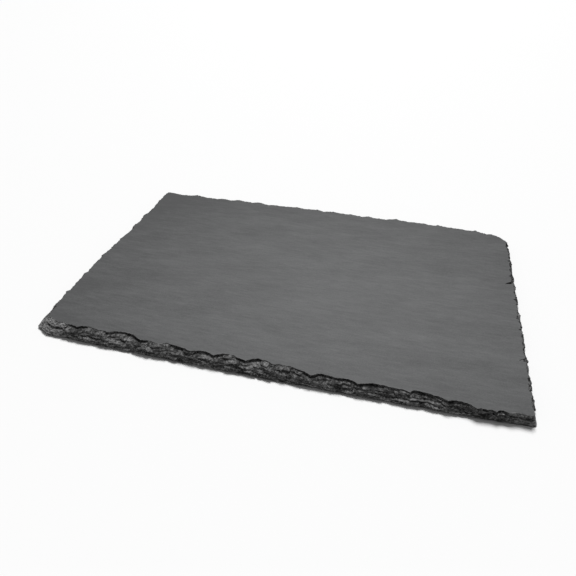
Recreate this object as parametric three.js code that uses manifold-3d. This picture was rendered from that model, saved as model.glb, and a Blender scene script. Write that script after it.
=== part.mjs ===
// Slate slab: one piece of rock, split along its cleavage and dressed to a rectangle by knapping
// flakes off the upper side of its four edges. Millimetres, +Z up. It rests on its flat underside,
// and the origin is under the middle of the slab.
import * as THREE from 'three';
import { mergeVertices } from 'three/addons/utils/BufferGeometryUtils.js';
import Module from 'manifold-3d';

const wasm = await Module();
wasm.setup();

// Driving dimensions
const LENGTH = 352; // along X, at the underside
const WIDTH = 239; // along Y, at the underside
const THICKNESS = 7; // between the two cleft faces

// The outline of the underside
const HALF_LENGTH = LENGTH / 2;
const HALF_WIDTH = WIDTH / 2;
const RIGHT_TAPER = 2.8; // how far the right edge leans in from back to front
const BACK_RIGHT_RADIUS = 18; // this corner has been rounded off
const SMALL_CORNER = 3.5; // the front right and back left corners are only blunted

// The front edge is bowed: how far it stands in from the front of the slab, at x. Where it starts,
// the front left corner is missing.
const FRONT_EDGE = [
  [-156, 1.8],
  [-100, 0.7],
  [-20, 0],
  [60, 0.7],
  [120, 1.7],
  [150, 2.7],
  [170, 4.2],
];

// The left edge leans in towards the front: how far it stands in from the end of the slab, at y
const LEFT_EDGE = [
  [-111.8, 8.8],
  [-101, 6.8],
  [-70, 5.5],
  [0, 3.2],
  [70, 1],
  [116, 0],
];

// Dressing: a narrow bevel all round, then the scars of single flakes
const LIP = 1.2; // height left standing at the outline
const BEVEL = { front: 7, right: 2.7, back: 1.8, left: 3.3 }; // widths on the upper face
const BEVEL_LINE_END = -20; // the front bevel is parallel to the front edge from its start to here
const SCAR_OUTSIDE = 3; // a flake scar is a hollow centred this far outside the outline
const SCAR_ABOVE = 4; // and this far above the upper face
const SCAR_ROUNDS = 20; // facets round a scar's hollow
const SCAR_RINGS = 12; // facets from its top to its bottom

// Each scar is [start, end, inset]: its span along the edge's own axis and how far its rim cuts in
const FRONT_SCARS = [
  [-158, -141, 7.6],
  [-144, -132, 8.4],
  [-136, -108, 11],
  [-112, -82, 11.9],
  [-86, -68, 8.4],
  [-72, -45, 9.2],
  [-49, -28, 8.3],
  [-32, -6, 9.9],
  [-9, 12, 11],
  [8, 38, 9.4],
  [34, 54, 7.9],
  [50, 68, 7.6],
  [64, 99, 8],
  [96, 123, 8.2],
  [119, 140, 5.7],
  [137, 151, 3.6],
  [147, 159, 4.6],
  [155, 171, 4.6],
];
const BACK_SCARS = [
  [-172, -138, 6],
  [-140, -122, 4.2],
  [-124, -110, 5.3],
  [-112, -93, 4.2],
  [-95, -68, 3.2],
  [-70, -53, 4.3],
  [-55, -29, 3.6],
  [-31, -7, 3.1],
  [-9, 9, 3.6],
  [8, 27, 3.3],
  [25, 43, 4.3],
  [41, 70, 4.5],
  [72, 100, 3.5],
  [98, 112, 4.4],
  [110, 147, 5.6],
  [145, 172, 7.6],
];
const LEFT_SCARS = [
  [-111, -90, 7.2],
  [-92, -74, 5.5],
  [-76, -59, 4.8],
  [-61, -48, 4.3],
  [-50, -30, 4.2],
  [-32, -17, 4],
  [-19, -1, 4.2],
  [-3, 13, 4.6],
  [11, 37, 5.4],
  [35, 61, 5.3],
  [59, 95, 5.7],
  [93, 113, 4.6],
];
const RIGHT_SCARS = [
  [-113, -95, 4.3],
  [-97, -79, 3.8],
  [-81, -65, 3.7],
  [-67, -61, 6.8],
  [-66, -48, 3.8],
  [-50, -32, 3.7],
  [-34, -18, 3.6],
  [-20, -3, 3.9],
  [-5, 14, 3.7],
  [12, 30, 3.7],
  [27, 33, 8.2],
  [28, 47, 4],
  [45, 69, 3.8],
  [67, 90, 3.6],
  [88, 105, 4.4],
];

// Scars across the corners: the middle of the corner, the way in from it, and the span and inset
const CORNER_SCARS = [
  { x: -161.6, y: -114.8, inward: Math.PI * 0.346, span: 25, inset: 6.6 },
  { x: 171, y: -114, inward: Math.PI * 0.75, span: 14, inset: 4.2 },
  { x: 170.7, y: 114.2, inward: -Math.PI * 0.75, span: 24, inset: 6.8 },
  { x: -174.5, y: 118, inward: -Math.PI * 0.25, span: 12, inset: 4.4 },
];

// Where the outline runs
const rightEdge = (y) => HALF_LENGTH - (RIGHT_TAPER * (HALF_WIDTH - y)) / WIDTH;
const frontEdge = (x) => insetAt(FRONT_EDGE, x) - HALF_WIDTH;
const leftEdge = (y) => insetAt(LEFT_EDGE, y) - HALF_LENGTH;
const frontCurve = new THREE.SplineCurve(
  FRONT_EDGE.map(([x, inset]) => new THREE.Vector2(x, inset - HALF_WIDTH)),
);
const leftCurve = new THREE.SplineCurve(
  LEFT_EDGE.map(([y, inset]) => new THREE.Vector2(inset - HALF_LENGTH, y)),
);

function insetAt(edge, place) {
  const last = edge.length - 1;
  const next = THREE.MathUtils.clamp(edge.findIndex(([at]) => at > place), 1, last);
  const [from, fromInset] = edge[next - 1];
  const [to, toInset] = edge[next];
  return THREE.MathUtils.lerp(fromInset, toInset, (place - from) / (to - from));
}

function outline() {
  const frontRight = rightEdge(-HALF_WIDTH);
  const end = frontCurve.getPoint(1);
  const shape = new THREE.Shape();
  shape.setFromPoints(frontCurve.getPoints(36));
  shape.quadraticCurveTo(frontRight, end.y, frontRight, end.y + SMALL_CORNER);
  const roundFrom = HALF_WIDTH - BACK_RIGHT_RADIUS;
  shape.lineTo(HALF_LENGTH, roundFrom);
  shape.absarc(HALF_LENGTH - BACK_RIGHT_RADIUS, roundFrom, BACK_RIGHT_RADIUS, 0, Math.PI / 2);
  shape.lineTo(-HALF_LENGTH + SMALL_CORNER, HALF_WIDTH);
  const backLeft = leftCurve.getPoint(1);
  shape.quadraticCurveTo(-HALF_LENGTH, HALF_WIDTH, backLeft.x, backLeft.y);
  const downTheLeft = leftCurve.getPoints(24).reverse().slice(1);
  for (const point of downTheLeft) shape.lineTo(point.x, point.y);
  // closing the outline draws the straight break across the front left corner
  shape.closePath();
  return shape;
}

// A geometry's triangles as a closed solid that can be cut
function solidFrom(geometry) {
  geometry.deleteAttribute('normal');
  geometry.deleteAttribute('uv');
  const merged = mergeVertices(geometry, 1e-4);
  const vertProperties = new Float32Array(merged.attributes.position.array);
  const triVerts = new Uint32Array(merged.index.array);
  return new wasm.Manifold(new wasm.Mesh({ numProp: 3, vertProperties, triVerts }));
}

function geometryFrom(solid) {
  const { vertProperties, triVerts } = solid.getMesh();
  const geometry = new THREE.BufferGeometry();
  geometry.setAttribute('position', new THREE.BufferAttribute(vertProperties, 3));
  geometry.setIndex(new THREE.BufferAttribute(triVerts, 1));
  geometry.computeVertexNormals();
  return geometry;
}

// A wedge that takes the upper arris off one edge. It is drawn for an edge at the origin that runs
// along X with the slab towards +Y, then turned and moved to its place.
function bevelWedge(x, y, inward, width) {
  const reach = LENGTH * 1.2;
  const rise = THICKNESS - LIP;
  const past = 2; // the sloping side is drawn this many bevel widths to either side of the edge
  const section = new THREE.Shape();
  section.moveTo(-width * past, LIP - rise * past);
  section.lineTo(width * past, LIP + rise * past);
  section.lineTo(-width * past, LIP + rise * past);
  section.closePath();
  const wedge = new THREE.ExtrudeGeometry(section, { depth: reach, bevelEnabled: false });
  wedge.translate(0, 0, -reach / 2);
  // the section's X and Y become the slab's inward and up, and the extrusion runs along the edge
  wedge.applyMatrix4(
    new THREE.Matrix4().makeBasis(
      new THREE.Vector3(0, 1, 0),
      new THREE.Vector3(0, 0, 1),
      new THREE.Vector3(1, 0, 0),
    ),
  );
  wedge.rotateZ(inward - Math.PI / 2);
  wedge.translate(x, y, 0);
  return solidFrom(wedge);
}

// The hollow of one flake: part of a flattened ball, sized so that its rim on the upper face has the
// given span along the edge and the given inset, and it runs out at the lip
function scarHollow(x, y, inward, span, inset) {
  const drop = SCAR_ABOVE + THICKNESS - LIP;
  const rimShare = Math.sqrt(1 - (SCAR_ABOVE / drop) ** 2);
  const reach = (inset + SCAR_OUTSIDE) / rimShare;
  const flare = 1 / Math.sqrt(1 - (SCAR_OUTSIDE / reach) ** 2);
  const hollow = new THREE.SphereGeometry(1, SCAR_ROUNDS, SCAR_RINGS);
  hollow.rotateX(Math.PI / 2);
  hollow.scale(((span / 2) * flare) / rimShare, reach, drop * flare);
  hollow.translate(0, -SCAR_OUTSIDE, 0);
  hollow.rotateZ(inward - Math.PI / 2);
  hollow.translate(x, y, THICKNESS + SCAR_ABOVE);
  return solidFrom(hollow);
}

function slab() {
  const block = new THREE.ExtrudeGeometry(outline(), {
    depth: THICKNESS,
    curveSegments: 24,
    bevelEnabled: false,
  });
  let solid = solidFrom(block);

  const toBack = Math.PI / 2;
  const toLeft = Math.PI;
  const toFront = -Math.PI / 2;
  const toRight = 0;
  const leanAt = HALF_WIDTH / 2;
  const leftLean = Math.atan2(leftEdge(-leanAt) - leftEdge(leanAt), 2 * leanAt);
  const rightLean = Math.atan2(RIGHT_TAPER, WIDTH);
  const [frontStart, startInset] = FRONT_EDGE[0];
  const frontLean = Math.atan2(startInset, BEVEL_LINE_END - frontStart);
  const wedges = [
    bevelWedge(BEVEL_LINE_END, -HALF_WIDTH, toBack - frontLean, BEVEL.front),
    bevelWedge(rightEdge(0), 0, toLeft - rightLean, BEVEL.right),
    bevelWedge(0, HALF_WIDTH, toFront, BEVEL.back),
    bevelWedge(leftEdge(0), 0, toRight + leftLean, BEVEL.left),
  ];

  const middle = ([from, to]) => (from + to) / 2;
  const scars = [
    ...FRONT_SCARS.map((s) => [middle(s), frontEdge(middle(s)), toBack, s[1] - s[0], s[2]]),
    ...BACK_SCARS.map((s) => [middle(s), HALF_WIDTH, toFront, s[1] - s[0], s[2]]),
    ...LEFT_SCARS.map((s) => [leftEdge(middle(s)), middle(s), toRight, s[1] - s[0], s[2]]),
    ...RIGHT_SCARS.map((s) => [rightEdge(middle(s)), middle(s), toLeft, s[1] - s[0], s[2]]),
    ...CORNER_SCARS.map((s) => [s.x, s.y, s.inward, s.span, s.inset]),
  ];
  const hollows = scars.map((scar) => scarHollow(...scar));

  for (const cutter of [...wedges, ...hollows]) solid = solid.subtract(cutter);
  return geometryFrom(solid);
}

// Dark grey slate, dry and matt
const slate = new THREE.MeshStandardMaterial({
  name: 'slate',
  color: 0x686a6a,
  roughness: 0.62,
  metalness: 0,
});

const slateSlab = new THREE.Mesh(slab(), slate);
slateSlab.name = 'slate_slab';

const group = new THREE.Group();
group.add(slateSlab);

export default group;
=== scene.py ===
# A slab of split slate with knapped edges, lying flat on a pale studio floor.
# The slab is drawn in millimetres and made in metres.
import math

import bpy
import numpy as np
from mathutils import Matrix, Vector
from mathutils.geometry import delaunay_2d_cdt


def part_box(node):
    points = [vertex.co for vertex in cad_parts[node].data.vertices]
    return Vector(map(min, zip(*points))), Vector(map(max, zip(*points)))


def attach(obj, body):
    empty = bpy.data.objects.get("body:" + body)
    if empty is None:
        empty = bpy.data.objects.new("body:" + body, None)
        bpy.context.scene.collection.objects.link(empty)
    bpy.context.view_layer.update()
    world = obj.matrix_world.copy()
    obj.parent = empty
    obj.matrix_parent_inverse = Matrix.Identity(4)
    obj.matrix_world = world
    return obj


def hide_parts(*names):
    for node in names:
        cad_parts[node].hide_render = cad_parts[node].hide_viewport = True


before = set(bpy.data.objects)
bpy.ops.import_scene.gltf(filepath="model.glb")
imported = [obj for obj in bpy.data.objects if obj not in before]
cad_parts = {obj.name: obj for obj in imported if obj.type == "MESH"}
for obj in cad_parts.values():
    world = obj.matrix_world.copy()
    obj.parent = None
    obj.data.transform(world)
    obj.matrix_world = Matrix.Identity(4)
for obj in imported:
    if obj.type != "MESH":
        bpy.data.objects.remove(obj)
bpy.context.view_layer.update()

MM = 0.001
SLAB_LOW, SLAB_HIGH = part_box("slate_slab")
HALF_LENGTH = (SLAB_HIGH.x - SLAB_LOW.x) / MM / 2
HALF_WIDTH = (SLAB_HIGH.y - SLAB_LOW.y) / MM / 2
THICKNESS = (SLAB_HIGH.z - SLAB_LOW.z) / MM

# ---------------------------------------------------------------- the outline of the underside

RIGHT_TAPER = 2.8  # how far the right edge leans in from back to front
BACK_RIGHT_RADIUS = 18.0
SMALL_CORNER = 3.5
CHIP_LENGTH = 20.0  # missing from the front edge at the front left corner
# The front edge falls back at its ends: (x, how far it stands in from the front of the slab)
FRONT_EDGE = [(-156, 1.8), (-100, 0.7), (-20, 0), (60, 0.7), (120, 1.7), (150, 2.7), (170, 4.2)]
# and the left edge leans in towards the front: (y, how far it stands in from the slab's end)
LEFT_EDGE = [(-111.8, 8.8), (-101, 6.8), (-70, 5.5), (0, 3.2), (70, 1.0), (116, 0)]
# Points along the curved stretches, before they are spaced evenly
FRONT_POINTS, LEFT_POINTS, ROUND_POINTS, BLUNT_POINTS = 200, 120, 40, 12

STEP = 0.62  # between the columns of the broken edge
CORE_INSET = 32.0  # the broken edge is drawn on lines that point at a rectangle this far in

# A notch in the right edge slants forwards, so the columns round it do too
SLANTING = (174, 31)
SLANT = 0.36
SLANT_REACH = 14.0  # it fades this far to either side


def smooth(t):
    return t * t * (3 - 2 * t)


def front_edge(x):
    return np.interp(x, [p[0] for p in FRONT_EDGE], [p[1] for p in FRONT_EDGE]) - HALF_WIDTH


def right_edge(y):
    return HALF_LENGTH - RIGHT_TAPER * (HALF_WIDTH - y) / (2 * HALF_WIDTH)


def left_edge(y):
    return np.interp(y, [p[0] for p in LEFT_EDGE], [p[1] for p in LEFT_EDGE]) - HALF_LENGTH


def blunted(start, corner, end):
    """A corner taken off by a curve that leaves both of its sides smoothly."""
    t = np.linspace(0, 1, BLUNT_POINTS)[:, None]
    start, corner, end = (np.array(p, float) for p in (start, corner, end))
    return (1 - t) ** 2 * start + 2 * t * (1 - t) * corner + t**2 * end


def outline():
    """Evenly spaced points round the underside, anticlockwise from the chipped corner."""
    front_right = right_edge(-HALF_WIDTH)
    start = -HALF_LENGTH + CHIP_LENGTH
    end = front_right - SMALL_CORNER
    round_from = HALF_WIDTH - BACK_RIGHT_RADIUS
    turn = np.linspace(0, math.pi / 2, ROUND_POINTS)
    along = np.linspace(start, end, FRONT_POINTS)
    down = np.linspace(HALF_WIDTH - SMALL_CORNER, LEFT_EDGE[0][0], LEFT_POINTS)
    pieces = [
        np.stack([along, front_edge(along)], 1),
        blunted(
            (end, front_edge(end)),
            (front_right, front_edge(end)),
            (front_right, front_edge(end) + SMALL_CORNER),
        ),
        np.stack(
            [
                HALF_LENGTH - BACK_RIGHT_RADIUS * (1 - np.cos(turn)),
                round_from + BACK_RIGHT_RADIUS * np.sin(turn),
            ],
            1,
        ),
        blunted(
            (-HALF_LENGTH + SMALL_CORNER, HALF_WIDTH),
            (-HALF_LENGTH, HALF_WIDTH),
            (-HALF_LENGTH, HALF_WIDTH - SMALL_CORNER),
        ),
        np.stack([left_edge(down), down], 1),
    ]
    points = np.concatenate(pieces)
    closed = np.concatenate([points, points[:1]])
    run = np.concatenate([[0], np.cumsum(np.linalg.norm(np.diff(closed, axis=0), axis=1))])
    count = int(run[-1] / STEP)
    stations = np.linspace(0, run[-1], count, endpoint=False)
    even = np.stack([np.interp(stations, run, closed[:, i]) for i in (0, 1)], 1)
    return even, stations, run[-1]


RIM, STATION, GIRTH = outline()


def station_of(x, y):
    """How far round the outline the nearest point to (x, y) lies."""
    return STATION[np.argmin((RIM[:, 0] - x) ** 2 + (RIM[:, 1] - y) ** 2)]


def from_station(station):
    """How far each column is past a station, from minus half the girth to half of it."""
    return (STATION - station + GIRTH / 2) % GIRTH - GIRTH / 2


def inward():
    """The way in from the outline for each column, a vector about 1 mm long."""
    core = np.array([HALF_LENGTH - CORE_INSET, HALF_WIDTH - CORE_INSET])
    straight = np.clip(RIM, -core, core) - RIM
    straight /= np.linalg.norm(straight, axis=1, keepdims=True)
    near = np.clip(1 - abs(from_station(station_of(*SLANTING))) / SLANT_REACH, 0, 1)
    forwards = np.array([0.0, -SLANT]) * smooth(near)[:, None]
    return straight + forwards


INWARD = inward()


# ---------------------------------------------------------------- unevenness

TABLE = 512  # random values each way in the table behind uneven()
SPARE_ROWS = 2  # rows of facets below the slab and above it


def wander(wavelength, seed):
    """A smooth random value from -1 to 1 for each column, unbroken round the slab."""
    knots = max(int(GIRTH / wavelength), 3)
    values = np.random.default_rng(seed).uniform(-1, 1, knots)
    place = STATION / GIRTH * knots
    cell = place.astype(int)
    return values[cell] + (values[(cell + 1) % knots] - values[cell]) * smooth(place - cell)


def uneven(x, y, long, short, seed, slant=0.0):
    """Smooth random values from -1 to 1 over the face, long along X and short along Y."""
    table = np.random.default_rng(seed).uniform(-1, 1, (TABLE, TABLE))
    u = (x * math.cos(slant) + y * math.sin(slant)) / long + TABLE / 2
    v = (y * math.cos(slant) - x * math.sin(slant)) / short + TABLE / 2
    i, j = np.floor(u).astype(int), np.floor(v).astype(int)
    a, b = smooth(u - i), smooth(v - j)
    near = table[i, j] * (1 - a) + table[i + 1, j] * a
    far = table[i, j + 1] * (1 - a) + table[i + 1, j + 1] * a
    return near * (1 - b) + far * b


def facets(height, length, thickness, seed):
    """Splits the broken edge into irregular flat facets. For each column at its height it gives
    how far the middle of its facet is along and up, and three random values for the facet."""
    across = round(GIRTH / length)
    tall = int(THICKNESS / thickness) + 2 * SPARE_ROWS + 1
    rng = np.random.default_rng(seed)
    middle = rng.uniform(0.05, 0.95, (across, tall, 2))
    chance = rng.uniform(-1, 1, (across, tall, 3))
    u = STATION / GIRTH * across
    v = height / thickness + SPARE_ROWS
    nearest = np.full(len(STATION), np.inf)
    found = np.zeros((len(STATION), 5))
    for step_u in (-1, 0, 1):
        for step_v in (-1, 0, 1):
            i = np.floor(u).astype(int) + step_u
            j = np.floor(v).astype(int) + step_v
            spot = middle[i % across, j]
            along, up = i + spot[:, 0] - u, j + spot[:, 1] - v
            far = along**2 + up**2
            closer = far < nearest
            nearest = np.where(closer, far, nearest)
            here = np.stack([along * GIRTH / across, up * thickness], 1)
            here = np.concatenate([here, chance[i % across, j]], 1)
            found = np.where(closer[:, None], here, found)
    return found.T


# ---------------------------------------------------------------- the knapped edge

# The upper arris runs from ridge to hollow to ridge: (place along the edge's own axis, inset from
# the outline). The first and last of each list are ridges.
FRONT_ARRIS = [
    (-164, 9.6), (-158, 9.6), (-152, 8.8), (-147, 9.2), (-143.3, 7.4), (-139.5, 8.6), (-134, 7.6),
    (-129, 9.6), (-110, 8.5), (-98, 11.9), (-84, 7.0), (-76, 7.8), (-70, 6.8), (-65, 9.2),
    (-47, 6.2), (-37, 8.0), (-30, 6.7), (-22, 9.9), (-7.5, 6.8), (1, 11.0), (10, 8.6), (15, 9.4),
    (36, 5.4), (43, 7.9), (52, 6.8), (60, 7.6), (66, 5.0), (79, 8.0), (98, 5.7), (101, 8.2),
    (121, 4.1), (127, 5.7), (138, 2.2), (144, 2.9), (149, 2.3), (153, 4.3), (157, 2.7),
    (166, 4.2), (170, 3.6),
]
RIGHT_ARRIS = [
    (-112, 4.0), (-104, 4.3), (-96, 3.2), (-88, 3.8), (-80, 2.9), (-74, 3.6), (-66, 3.0),
    (-58, 3.8), (-49, 3.0), (-42, 3.7), (-33, 2.8), (-26, 3.5), (-19, 3.1), (-10, 3.9), (-4, 3.0),
    (4, 3.7), (13, 2.8), (22, 3.6), (29, 3.1), (38, 4.0), (46, 3.0), (56, 3.8), (68, 2.7),
    (80, 3.5), (88, 3.5), (95, 4.3), (101, 4.3),
]
BACK_ARRIS = [
    (-171, 4.3), (-158, 6), (-139, 1.9), (-129, 4.2), (-123, 3.8), (-115, 5.3), (-111, 2.9),
    (-104, 4.2), (-94, 1.9), (-82, 3.2), (-69, 2), (-60, 4.3), (-54, 2.4), (-50, 3.5),
    (-30, 1.2), (-18, 3.1), (-8, 1.4), (1, 3.6), (8.5, 1), (21, 3.3), (26, 2.2), (37, 4.3),
    (42, 2.3), (56, 4.5), (71, 0.2), (86, 3.4), (99, 2.7), (107, 4.4), (111, 2.4), (138, 5.6),
    (146, 3.6), (160, 9.1), (174, 7.3),
]
LEFT_ARRIS = [
    (-112, 8.6), (-109, 8.8), (-106, 6.8), (-102, 7.9), (-91, 4.7), (-85, 5.0), (-75, 3.2),
    (-68, 4.3), (-60, 3.0), (-56, 3.6), (-49, 2.6), (-42, 3.7), (-31, 2.7), (-25, 3.2),
    (-18, 2.0), (-7, 3.6), (-2, 2.9), (4, 4.1), (12, 3.6), (28, 4.9), (36, 3.2), (46, 4.8),
    (60, 3.4), (73, 5.2), (94, 2.9), (103, 3.9), (113, 3.7),
]
CUSP = 0.85  # under 1 makes the ridges sharper than the hollows
LEAST_ARRIS = 0.2  # the arris stays at least this far in from the outline

# Narrow notches in the upper arris: place on the outline, how much deeper, half width, slant
NOTCHES = [
    ((175, 92), 1.3, 0.9, 0.5), ((175, 65.5), 2.0, 0.9, 0.3), ((175, 41), 1.8, 0.9, 0.4),
    (SLANTING, 6.3, 1.3, 0.9), ((174, 7), 1.8, 0.9, 0.2), ((174, -18), 2.0, 1.0, 0.4),
    ((174, -31), 1.6, 0.8, 0.3), ((173, -64), 4.4, 1.4, 0.6),
]
NOTCH_FOOT = 3.0  # the height at which they begin
NOTCH_SHARPNESS = 0.6  # at 1 a notch is a V, towards 0 it is square

# How the broken edge rises, at places round the outline. Under 1 it is a shelf with a cliff
# behind it, over 1 a wall with a slope above it.
RISE = [
    ((-160, -116), 1.2), ((-135, -119), 2.6), ((-60, -119), 2.4), ((-10, -119), 2.0),
    ((40, -119), 1.8), ((110, -119), 1.9), ((165, -118), 1.0), ((174, 0), 0.9),
    ((172, 115), 0.8), ((60, 120), 0.8), ((-110, 120), 0.9), ((-174, 60), 0.9), ((-171, -60), 0.8),
]
# How rough the upper arris is, at places round the outline
JAGGED = [
    ((-170, -100), 1.3), ((160, -117), 1.3), ((173, -105), 2.6), ((175, 100), 2.6),
    ((150, 120), 2.6), ((-172, 116), 2.6), ((-174, 100), 2.2), ((-172, -60), 2.2),
]
NEAREST = 0.15  # nothing stands nearer to the outline than this
RAGGED = 0.25  # how far the bottom arris wanders in from there
BOTTOM_ARRIS = 0.9  # its height; below it the edge turns under
TURNED_UNDER = 1.5  # and how far in the rim of the underside is
TURN_SHARPNESS = 1.6  # over 1 most of the turn is at its foot
FOOT = 1.2  # the facets grow to their full size over this height

# The broken edge is made of large facets with small ones on them. Each kind: its length along the
# edge and its height with a seed, how far it stands out, and how far it leans for each mm along it
LARGE_FACETS, LARGE_OUT, LARGE_LEAN = (8.5, 1.45, 41), 0.95, 0.16
SMALL_FACETS, SMALL_OUT, SMALL_LEAN = (3.1, 0.75, 42), 0.32, 0.1
# How upright a large facet is: at 0 it follows the slope behind it, at 1 it is a step
SQUARENESS, SQUARENESS_SPREAD = 0.55, 0.4
PROFILE_OUT = 0.2  # how far small facets stand out where the edge has a profile of its own

TOP_LEAF = 0.6  # thickness of the layer that ends at the upper arris
LEAF_BEVEL = 0.05  # height of the small bevel under its rim
HOLLOW_DEPTH = 1.2  # how far the break is hollowed out under it, at most
HOLLOW_MIDDLE, HOLLOW_REACH = 0.4, 0.6  # how far below the layer its middle is, and half its height
PROUD = 0.2  # how far the rims of a hollow may stand out past the arris
SET_BACK = 0.9  # no facet lies further in than this past the upper arris
SET_BACK_IN_PROFILES = 1.2  # but it may by this much more in the profiles

# Where the edge has a profile of its own: places it runs between on the outline, how far it fades
# beyond them, and height against inset. The front left corner is one large sloping chip. Beside it
# the chip runs under a thin layer, with a crack between. The front right corner has a low shelf.
PROFILES = [
    ((-168, -108), (-162, -114.5), 2, [(0, 0.3), (1.5, 0.5), (3.8, 4.2), (6.6, 8.8), (7.0, 9.4)]),
    (
        (-162, -114.5), (-145, -118), 2,
        [(0, 0.3), (2.1, 0.5), (4.2, 4.9), (4.4, 7.0), (4.9, 6.8), (5.2, 5.2), (6.7, 8.3), (7, 8.8)],
    ),
    (
        (158, -116), (174, -108), 2,
        [(0, 0.7), (0.5, 0.8), (3.4, 3.0), (3.6, 4.2), (6.2, 4.0), (6.6, 3.4)],
    ),
]
# How pale the broken stone is, at places round the outline
PALE = [
    ((-174, -60), 0.0), ((-171, -95), 0.3), ((-168, -108), 1.0), ((-147, -118), 1.0),
    ((-139, -118), 0.1), ((-128, -118), 0.1), ((-112, -119), 0.4), ((-60, -119), 0.33),
    ((60, -119), 0.33), ((120, -118), 0.3), ((150, -117), 0.28), ((162, -116), 0.7),
    ((174, -100), 0.4), ((175, 0), 0.2), ((160, 118), -0.3), ((-100, 120), -0.3),
]


def along_outline(listed):
    """For each column, a value between those listed for places on the outline."""
    at, values = np.array(sorted((station_of(*place), value) for place, value in listed)).T
    return np.interp(STATION, at, values, period=GIRTH)


def arris_inset():
    """The upper arris's distance from the outline, for each column."""
    edges = (
        (FRONT_ARRIS, lambda x: (x, front_edge(x))),
        (RIGHT_ARRIS, lambda y: (right_edge(y), y)),
        (BACK_ARRIS, lambda x: (x, HALF_WIDTH)),
        (LEFT_ARRIS, lambda y: (left_edge(y), y)),
    )
    knots = sorted(
        (station_of(*place(along)), inset, k % 2)
        for arris, place in edges
        for k, (along, inset) in enumerate(arris)
    )
    at, inset, hollow = np.array(knots).T
    after = np.searchsorted(at, STATION, side="right") % len(at)
    before = after - 1
    share = ((STATION - at[before]) % GIRTH) / ((at[after] - at[before]) % GIRTH)
    turn = share * math.pi / 2
    ease = np.where(hollow[before] > 0, 1 - np.cos(turn) ** CUSP, np.sin(turn) ** CUSP)
    return inset[before] + (inset[after] - inset[before]) * ease


class BrokenEdge:
    """How far each point of the broken edge stands in from the outline."""

    def __init__(self):
        jagged = 0.2 * wander(5.5, 13) + 0.2 * wander(2.4, 14) + 0.18 * wander(1.3, 15)
        self.arris = np.maximum(arris_inset() + jagged * along_outline(JAGGED), LEAST_ARRIS)
        self.power = along_outline(RISE) * (1 + 0.15 * wander(21, 12))
        self.bottom = NEAREST + RAGGED * 0.5 * (1 + 0.6 * wander(11, 31) + 0.4 * wander(2.6, 32))
        self.leaf = TOP_LEAF * (1 + 0.5 * wander(17, 16))
        self.hollowed = HOLLOW_DEPTH * np.clip(1.3 * wander(9, 17) + 0.5, 0, 1)
        self.profiles = [
            (shape, self.between(first, last, fade)) for first, last, fade, shape in PROFILES
        ]
        self.plain = 1 - np.clip(sum(share for shape, share in self.profiles), 0, 1)

    def between(self, first, last, fade):
        """1 for the columns between two places on the outline, fading to 0 beyond them."""
        first, last = station_of(*first), station_of(*last)
        half = ((last - first) % GIRTH) / 2
        return smooth(np.clip((half - abs(from_station(first + half))) / fade + 1, 0, 1))

    def notched(self, height):
        """The upper arris with its notches, which run deeper towards the top."""
        inset = self.arris.copy()
        for (x, y), depth, half_width, slant in NOTCHES:
            past = from_station(station_of(x, y))
            open_share = np.clip((height - NOTCH_FOOT) / (THICKNESS - NOTCH_FOOT), 0, 1)
            reach = half_width * (1 + slant * np.sign(past))
            cut = np.clip(1 - abs(past / reach), 0, 1) ** NOTCH_SHARPNESS
            inset = inset + depth * cut * open_share
        return inset

    def slope(self, height):
        """The broken edge with no facets on it, as one slope from the bottom to the arris."""
        rise = np.clip(height / THICKNESS, 0, 1) ** self.power
        return self.bottom + (self.arris - self.bottom) * rise

    def setback(self, height):
        """The setback of every column at one height."""
        along, up, out, lean, mix = facets(height, *LARGE_FACETS)
        flat = height + up * (SQUARENESS + SQUARENESS_SPREAD * mix)
        back = self.slope(flat) + LARGE_OUT * out + LARGE_LEAN * lean * along
        along, _, out, lean, _ = facets(height, *SMALL_FACETS)
        back = back + SMALL_OUT * out + SMALL_LEAN * lean * along
        for shape, share in self.profiles:
            cut = np.interp(height, *np.array(shape).T) + PROFILE_OUT * out
            back = back + (cut - back) * share
        back = self.bottom + (back - self.bottom) * np.clip(height / FOOT, 0, 1)

        # the thin top layer reaches out to the arris, and the break below it may be hollow
        edge = self.notched(height)
        below = THICKNESS - self.leaf - height
        hollow = np.clip(1.4 * (1 - abs(below - HOLLOW_MIDDLE) / HOLLOW_REACH), 0, 1)
        hollow = hollow * self.hollowed * self.plain
        back = np.minimum(back, edge + SET_BACK + SET_BACK_IN_PROFILES * (1 - self.plain))
        back = np.maximum(back, edge * (hollow > 0.1) + hollow - PROUD)
        back = back + (edge - back) * np.clip(-below / LEAF_BEVEL, 0, 1)

        # and the foot turns under, less so in the profiles
        turned = TURNED_UNDER * np.clip(1 - height / BOTTOM_ARRIS, 0, 1) ** TURN_SHARPNESS
        return np.maximum(back, self.bottom) + turned * (0.3 + 0.7 * self.plain)


# ---------------------------------------------------------------- the cleft faces

FACE_DEPTH = 0.13  # the middle of the upper face's relief is this far below its highest point
LAYER, LAYER_BEVEL = 0.04, 0.02  # height of the step at a thin layer's edge, and its softness
LAYER_LEVELS = (-0.35, 0.1, 0.5)  # where the thin layers end
UNDERSIDE_DEPTH = 0.08


def cleft_relief(x, y):
    """How far the upper face lies below its highest point: long low waves along the grain, and
    the edges of a few very thin layers."""
    drift = 4 * uneven(x, y, 60, 40, 1)
    waves = 0.06 * uneven(x, y, 95, 60, 2) + 0.03 * uneven(x, y + drift, 40, 17, 3, 0.1)
    wrinkles = 0.02 * uneven(x, y + drift, 26, 6.5, 4, -0.06)
    layer = uneven(x, y + drift, 85, 38, 5, 0.12) + 0.25 * uneven(x, y, 14, 9, 6)
    steps = sum(LAYER / (1 + np.exp(-(layer - level) / LAYER_BEVEL)) for level in LAYER_LEVELS)
    return FACE_DEPTH + waves + wrinkles + steps


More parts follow.
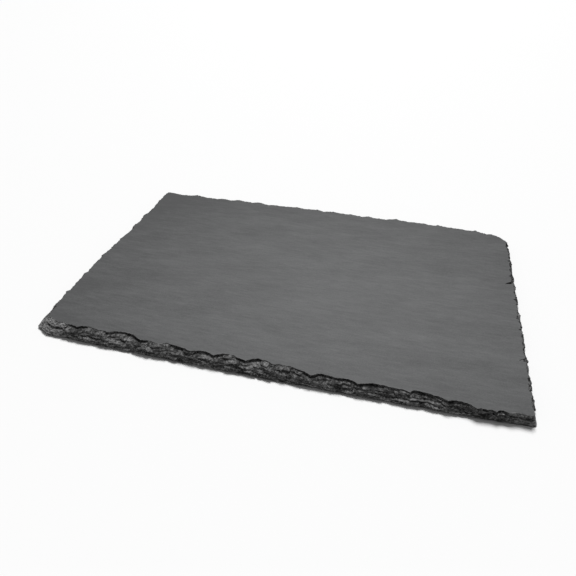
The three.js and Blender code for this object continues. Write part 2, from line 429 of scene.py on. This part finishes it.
def underside_relief(x, y):
    """How far the underside stands clear of the floor."""
    return UNDERSIDE_DEPTH + 0.05 * uneven(x, y, 70, 45, 8) + 0.03 * uneven(x, y, 22, 12, 9)


# ---------------------------------------------------------------- the slab's mesh

ROW_STEP = 0.3  # height of a row of points on the broken edge
CHATTER = 0.1  # how far single points of it stray
UNDERSIDE_ROWS = (6.0, 2.5, 0.9)  # how far in from the rim of the underside
UNDERSIDE_LEVEL = 3.0  # its relief fades out from this far in to the rim
BAND = 16.5  # width of the finely drawn strip of the upper face
BAND_ROWS = (0.0, 0.03, 0.07, 0.13, 0.22, 0.36, 0.55, 0.77, 1.0)  # shares of that width
ARRIS_ROUNDING = 0.15  # the strip begins this far in from the upper arris
DROOP, DROOP_REACH = 0.1, 0.5  # the upper face falls this much at the arris, and over this length
WORN_REACH = 1 / 40  # the arris is rubbed over about this share of the strip
# The grids that fill the faces: spacing, margin inside the ring, seed
FACE_GRID = (1.9, 1.95, 61)
UNDERSIDE_GRID = (5.0, 4.5, 62)
GRID_JITTER = 0.22  # how far a point of a grid strays, in spacings
# Paleness of one facet beside the next, partly the stone's own tone and partly painted light on
# facets that catch it: length, height and seed, and how much it varies
LARGE_PATCHES, LARGE_PATCH_SHADE = (5.5, 1.3, 43), 0.24
SMALL_PATCHES, SMALL_PATCH_SHADE = (1.7, 0.55, 44), 0.34
# Painted light along a low ledge of the edge, in places, where it catches the light: its height,
# half its thickness, how pale it is
PAINTED_LEDGE_LIGHT_HEIGHT, PAINTED_LEDGE_LIGHT_REACH, PAINTED_LEDGE_LIGHT_AMOUNT = 1.6, 0.9, 0.9
CREASE = math.radians(38)  # edges sharper than this aren't smoothed


def fill_ring(ring, spacing, margin, seed):
    """Points and triangles that fill a ring. The first points are the ring's own."""
    low, high = ring.min(0), ring.max(0)
    xs = np.arange(low[0] + spacing, high[0], spacing)
    ys = np.arange(low[1] + spacing, high[1], spacing)
    grid = np.stack(np.meshgrid(xs, ys), -1).reshape(-1, 2)
    jitter = np.random.default_rng(seed).uniform(-GRID_JITTER, GRID_JITTER, grid.shape)
    grid += jitter * spacing
    centre = (low + high) / 2
    turn = np.arctan2(ring[:, 1] - centre[1], ring[:, 0] - centre[0])
    order = np.argsort(turn)
    ring_far = np.linalg.norm(ring - centre, axis=1)
    far = np.linalg.norm(grid - centre, axis=1)
    limit = np.interp(
        np.arctan2(grid[:, 1] - centre[1], grid[:, 0] - centre[0]),
        turn[order], ring_far[order], period=2 * math.pi,
    )
    grid = grid[far < limit - margin]
    points = [Vector(p) for p in np.concatenate([ring, grid])]
    verts, _, faces, origins, _, _ = delaunay_2d_cdt(
        points, [], [list(range(len(ring)))], 1, 1e-6
    )
    index = [found[0] for found in origins]
    return grid, [[index[i] for i in face] for face in faces], len(verts) == len(points)


def strip_faces(count, rows):
    """Quads between rows of points that each run once round the slab."""
    faces = []
    for r in range(rows - 1):
        a = r * count
        b = a + count
        column = np.arange(count)
        after = (column + 1) % count
        faces.append(np.stack([a + column, a + after, b + after, b + column], 1))
    return np.concatenate(faces)


def slab_mesh():
    edge = BrokenEdge()
    arris = edge.notched(THICKNESS)
    count = len(STATION)
    points, marks = [], []
    pale = along_outline(PALE)
    # painted light along a low ledge, in places round the edge
    painted_ledge_light = PAINTED_LEDGE_LIGHT_AMOUNT * np.clip(wander(8, 45) + 0.35 * wander(2.2, 46) + 0.15, 0, 1)

    def add_row(back, height, broken=0.0, wear=0.0, paleness=pale):
        place = RIM + INWARD * back[:, None]
        points.append(np.concatenate([place, height[:, None]], 1))
        marks.append(np.stack([np.full(count, broken), np.full(count, wear), paleness], 1))

    def add_grid(grid, height):
        points.append(np.concatenate([grid, height[:, None]], 1))
        marks.append(np.zeros((len(grid), 3)))

    # the rim of the underside, from inside to the bottom arris
    rim = edge.setback(0)
    for further in UNDERSIDE_ROWS:
        place = RIM + INWARD * (rim + further)[:, None]
        level = min(further / UNDERSIDE_LEVEL, 1)
        add_row(rim + further, underside_relief(*place.T) * level)
    # up the broken edge, each small facet a little paler or darker than the next, partly its own
    # tone and partly painted light
    place = RIM + INWARD * arris[:, None]
    top_share = (THICKNESS - cleft_relief(*place.T)) / THICKNESS
    rng = np.random.default_rng(77)
    for height in np.linspace(0, THICKNESS, round(THICKNESS / ROW_STEP) + 1):
        back = edge.setback(height) + rng.uniform(-CHATTER, CHATTER, count)
        large = LARGE_PATCH_SHADE * facets(height, *LARGE_PATCHES)[2]
        painted_light_and_facet_tone = large + SMALL_PATCH_SHADE * facets(height, *SMALL_PATCHES)[2]
        # with painted light where the low ledge catches it
        painted_light_and_facet_tone = painted_light_and_facet_tone + painted_ledge_light * max(1 - abs(height - PAINTED_LEDGE_LIGHT_HEIGHT) / PAINTED_LEDGE_LIGHT_REACH, 0)
        paleness = np.clip(pale + painted_light_and_facet_tone, 0, 1)
        add_row(np.maximum(back, NEAREST), height * top_share, broken=1.0, paleness=paleness)
    # from the upper arris across the band
    droop = DROOP * (1 + wander(5, 51))
    for share in BAND_ROWS:
        back = arris + ARRIS_ROUNDING + (BAND - arris - ARRIS_ROUNDING) * share
        place = RIM + INWARD * back[:, None]
        fall = droop * np.exp(-(back - arris) / DROOP_REACH)
        height = THICKNESS - cleft_relief(*place.T) - fall
        half_broken = 0.5 if share == 0 else 0.0
        add_row(back, height, broken=half_broken, wear=math.exp(-share / WORN_REACH))

    rows = len(points)
    faces = strip_faces(count, rows).tolist()
    base = rows * count

    top_ring = points[-1][:, :2]
    grid, triangles, whole = fill_ring(top_ring, *FACE_GRID)
    assert whole
    ring_start = (rows - 1) * count
    faces += [[ring_start + i if i < count else base + i - count for i in t] for t in triangles]
    add_grid(grid, THICKNESS - cleft_relief(*grid.T))
    base += len(grid)

    under_ring = points[0][:, :2]
    grid, triangles, whole = fill_ring(under_ring, *UNDERSIDE_GRID)
    assert whole
    faces += [[i if i < count else base + i - count for i in reversed(t)] for t in triangles]
    add_grid(grid, underside_relief(*grid.T))

    vertices = np.concatenate(points)
    vertices[:, 2] = np.clip(vertices[:, 2], 0, THICKNESS)
    middle = (SLAB_LOW + SLAB_HIGH) / 2
    vertices = vertices * MM + np.array([middle.x, middle.y, SLAB_LOW.z])
    mesh = bpy.data.meshes.new("slate_slab_stone")
    mesh.from_pydata(vertices.tolist(), [], faces)
    mesh.update()
    for name, values in zip(("broken", "wear", "pale"), np.concatenate(marks).T):
        attribute = mesh.attributes.new(name, "FLOAT", "POINT")
        attribute.data.foreach_set("value", np.ascontiguousarray(values, np.float32))
    mesh.shade_smooth()
    mesh.set_sharp_from_angle(angle=CREASE)
    return mesh


# ---------------------------------------------------------------- materials

class Wire:
    """One output in a material. Arithmetic on wires adds Math nodes."""

    def __init__(self, maker, socket):
        self.maker = maker
        self.socket = socket

    def _math(self, operation, *values):
        numbered = {i: value for i, value in enumerate(values)}
        return self.maker.node("ShaderNodeMath", {"operation": operation}, numbered)

    def __add__(self, other):
        return self._math("ADD", self, other)

    __radd__ = __add__

    def __sub__(self, other):
        return self._math("SUBTRACT", self, other)

    def __rsub__(self, other):
        return self._math("SUBTRACT", other, self)

    def __mul__(self, other):
        return self._math("MULTIPLY", self, other)

    __rmul__ = __mul__


class Finish:
    """Makes the nodes of one material."""

    def __init__(self, name):
        self.material = bpy.data.materials.new(name)
        self.material.use_nodes = True
        self.tree = self.material.node_tree
        self.tree.nodes.clear()

    def node(self, kind, settings=None, values=None, output=0):
        made = self.tree.nodes.new(kind)
        for name, setting in (settings or {}).items():
            setattr(made, name, setting)
        for name, value in (values or {}).items():
            socket = made.inputs[name]
            if isinstance(value, Wire):
                self.tree.links.new(value.socket, socket)
            else:
                socket.default_value = value
        return Wire(self, made.outputs[output])

    def place(self):
        """The slab's own coordinates, in metres."""
        return self.node("ShaderNodeTexCoord", output="Object")

    def grain(self, size, detail=2.0, roughness=0.5, turn=0.0):
        """Noise whose patches are about that size in millimetres along X, Y and Z."""
        scaled = self.node(
            "ShaderNodeMapping",
            {"vector_type": "TEXTURE"},
            {"Vector": self.place(), "Scale": [s * MM for s in size], "Rotation": (0, 0, turn)},
        )
        return self.node(
            "ShaderNodeTexNoise",
            {"noise_dimensions": "3D"},
            {"Vector": scaled, "Scale": 1.0, "Detail": detail, "Roughness": roughness},
        )

    def between(self, value, low, high, to_low=0.0, to_high=1.0):
        """Goes smoothly from to_low to to_high as value goes from low to high."""
        return self.node(
            "ShaderNodeMapRange",
            {"interpolation_type": "SMOOTHSTEP"},
            {"Value": value, "From Min": low, "From Max": high, "To Min": to_low, "To Max": to_high},
        )

    def mixed(self, factor, first, second):
        return self.node(
            "ShaderNodeMix", {"data_type": "RGBA"}, {0: factor, 6: first, 7: second}, output=2
        )

    def marked(self, name):
        return self.node("ShaderNodeAttribute", {"attribute_name": name}, output="Fac")

    def finish(self, shader):
        output = self.tree.nodes.new("ShaderNodeOutputMaterial")
        self.tree.links.new(shader.socket, output.inputs["Surface"])
        return self.material


def grey(level, warmth=0.0):
    return (level * (1 + warmth), level, level * (1 - warmth), 1)


# A pool of light painted on the upper face: the place where it is brightest, in metres
PAINTED_LIGHT_CENTRE = (35 * MM, -20 * MM, THICKNESS * MM)
PAINTED_LIGHT_FALLOFF = 12.6  # how fast the painted light falls off with the square of the distance from there, in metres
GRAIN_HEIGHT = 0.4 * MM


def split_slate():
    """Dry dark grey slate: a matt cleft face with faint streaks and a painted pool of light, and
    darker broken edges mottled partly by their own tone and partly by painted light.
    """
    f = Finish("split_slate")
    broken = f.marked("broken")
    wear = f.marked("wear")
    pale = f.marked("pale")

    streaks = f.grain((11, 1.9, 1.9), 3.0, 0.6)
    patches = f.grain((42, 13, 13), 2.0, 0.5, 0.12)
    tooth = f.grain((0.9, 0.6, 0.6), 2.0, 0.6)
    # a pool of light painted into the face's colour: it is palest a little to the right of its
    # middle and darkens slowly towards its ends
    far = f.node(
        "ShaderNodeVectorMath",
        {"operation": "DISTANCE"},
        {0: f.place(), 1: PAINTED_LIGHT_CENTRE},
        output=1,
    )
    painted_light_and_tone = 0.64 - PAINTED_LIGHT_FALLOFF * (far * far)
    painted_light_and_tone = painted_light_and_tone + 0.63 * (patches - 0.5) + 0.68 * (streaks - 0.5) + 0.85 * (tooth - 0.5)
    face = f.mixed(painted_light_and_tone, grey(0.0835, -0.012), grey(0.1535, -0.01))

    # the broken stone's light and dark mottle: partly its own tone, partly painted light where
    # facets would catch it and glint
    leaves = f.grain((16, 16, 0.32), 2.0, 0.55)
    clumps = f.grain((5, 5, 1.6), 2.0, 0.6)
    chips = f.grain((1.2, 1.2, 0.7), 2.0, 0.65)
    cut = f.between(0.3 * leaves + 0.2 * clumps + 0.5 * chips, 0.44, 0.57)
    dark = f.mixed(cut, grey(0.024), grey(0.08))
    light = f.mixed(cut, grey(0.075), grey(0.3))
    # the pale mark also carries the painted light along the low ledge and on single facets
    broken_tone_and_painted_light = f.mixed(pale, dark, light)
    # scattered pale specks on the broken stone
    pale_specks = f.between(f.grain((0.8, 0.8, 0.5), 0.0), 0.78, 0.86)
    broken_tone_and_painted_light = f.mixed(pale_specks * 0.6, broken_tone_and_painted_light, grey(0.34))

    colour = f.mixed(broken, face, broken_tone_and_painted_light)
    rubbed = wear * f.between(f.grain((9, 9, 9), 2.0), 0.45, 0.7)
    colour = f.mixed(rubbed * 0.5, colour, grey(0.17))

    roughness = 0.6 + 0.1 * (tooth - 0.5) + 0.12 * (patches - 0.5) + 0.3 * broken
    height = (1 - broken) * (0.5 * streaks + 0.22 * tooth) + broken * (0.9 * leaves + 0.8 * chips)
    bumped = f.node(
        "ShaderNodeBump", {}, {"Strength": 0.7, "Distance": GRAIN_HEIGHT, "Height": height}
    )
    return f.finish(
        f.node(
            "ShaderNodeBsdfPrincipled",
            {},
            {
                "Base Color": colour,
                "Roughness": roughness,
                "Specular IOR Level": 0.012,
                "Normal": bumped,
            },
        )
    )


def plain_paper():
    f = Finish("pale_floor")
    return f.finish(
        f.node("ShaderNodeBsdfPrincipled", {}, {"Base Color": grey(0.83), "Roughness": 0.9})
    )


# ---------------------------------------------------------------- making the scene

def add_object(name, data):
    made = bpy.data.objects.new(name, data)
    bpy.context.scene.collection.objects.link(made)
    return made


slab = add_object("slate_slab_stone", slab_mesh())
slab.data.materials.append(split_slate())
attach(slab, "root")
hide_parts("slate_slab")

FLOOR_REACH = 6.0
floor_mesh = bpy.data.meshes.new("floor")
corners = [(x * FLOOR_REACH, y * FLOOR_REACH, 0) for x, y in ((-1, -1), (1, -1), (1, 1), (-1, 1))]
floor_mesh.from_pydata(corners, [], [(0, 1, 2, 3)])
floor = add_object("floor", floor_mesh)
floor.location.z = SLAB_LOW.z
floor_mesh.materials.append(plain_paper())

# The camera stands in front of the slab's right half, in metres, and looks down across it
CAMERA_PLACE = Vector((0.0783, -0.3408, 0.2353))
CAMERA_TURN = math.radians(14.26)
CAMERA_DIP = math.radians(34.99)
CAMERA_ROLL = math.radians(0.66)
CAMERA_LENS, SENSOR = 31.46, 36.0  # focal length and sensor width, in mm

lens = bpy.data.cameras.new("camera")
lens.sensor_width = SENSOR
lens.lens = CAMERA_LENS
lens.clip_start = 0.01
camera = add_object("camera", lens)
camera.matrix_world = (
    Matrix.Translation(CAMERA_PLACE)
    @ Matrix.Rotation(CAMERA_TURN, 4, "Z")
    @ Matrix.Rotation(math.pi / 2 - CAMERA_DIP, 4, "X")
    @ Matrix.Rotation(CAMERA_ROLL, 4, "Z")
)
bpy.context.scene.camera = camera


def add_sun(name, strength, spread, azimuth, elevation):
    """A broad, soft light from far away. Azimuth 0 is from the front, 90 from the right."""
    light = bpy.data.lights.new(name, "SUN")
    light.energy = strength
    light.angle = math.radians(spread)
    a, e = math.radians(azimuth), math.radians(elevation)
    towards = Vector((math.sin(a) * math.cos(e), -math.cos(a) * math.cos(e), math.sin(e)))
    lamp = add_object(name, light)
    lamp.rotation_euler = towards.to_track_quat("Z", "Y").to_euler()


add_sun("back_light", strength=4.15, spread=22, azimuth=188, elevation=49)

world = bpy.data.worlds.new("studio")
world.use_nodes = True
soft_light = world.node_tree.nodes["Background"]
soft_light.inputs["Color"].default_value = (1, 1, 1, 1)
soft_light.inputs["Strength"].default_value = 0.17
bpy.context.scene.world = world
bpy.context.scene.view_settings.view_transform = "Standard"
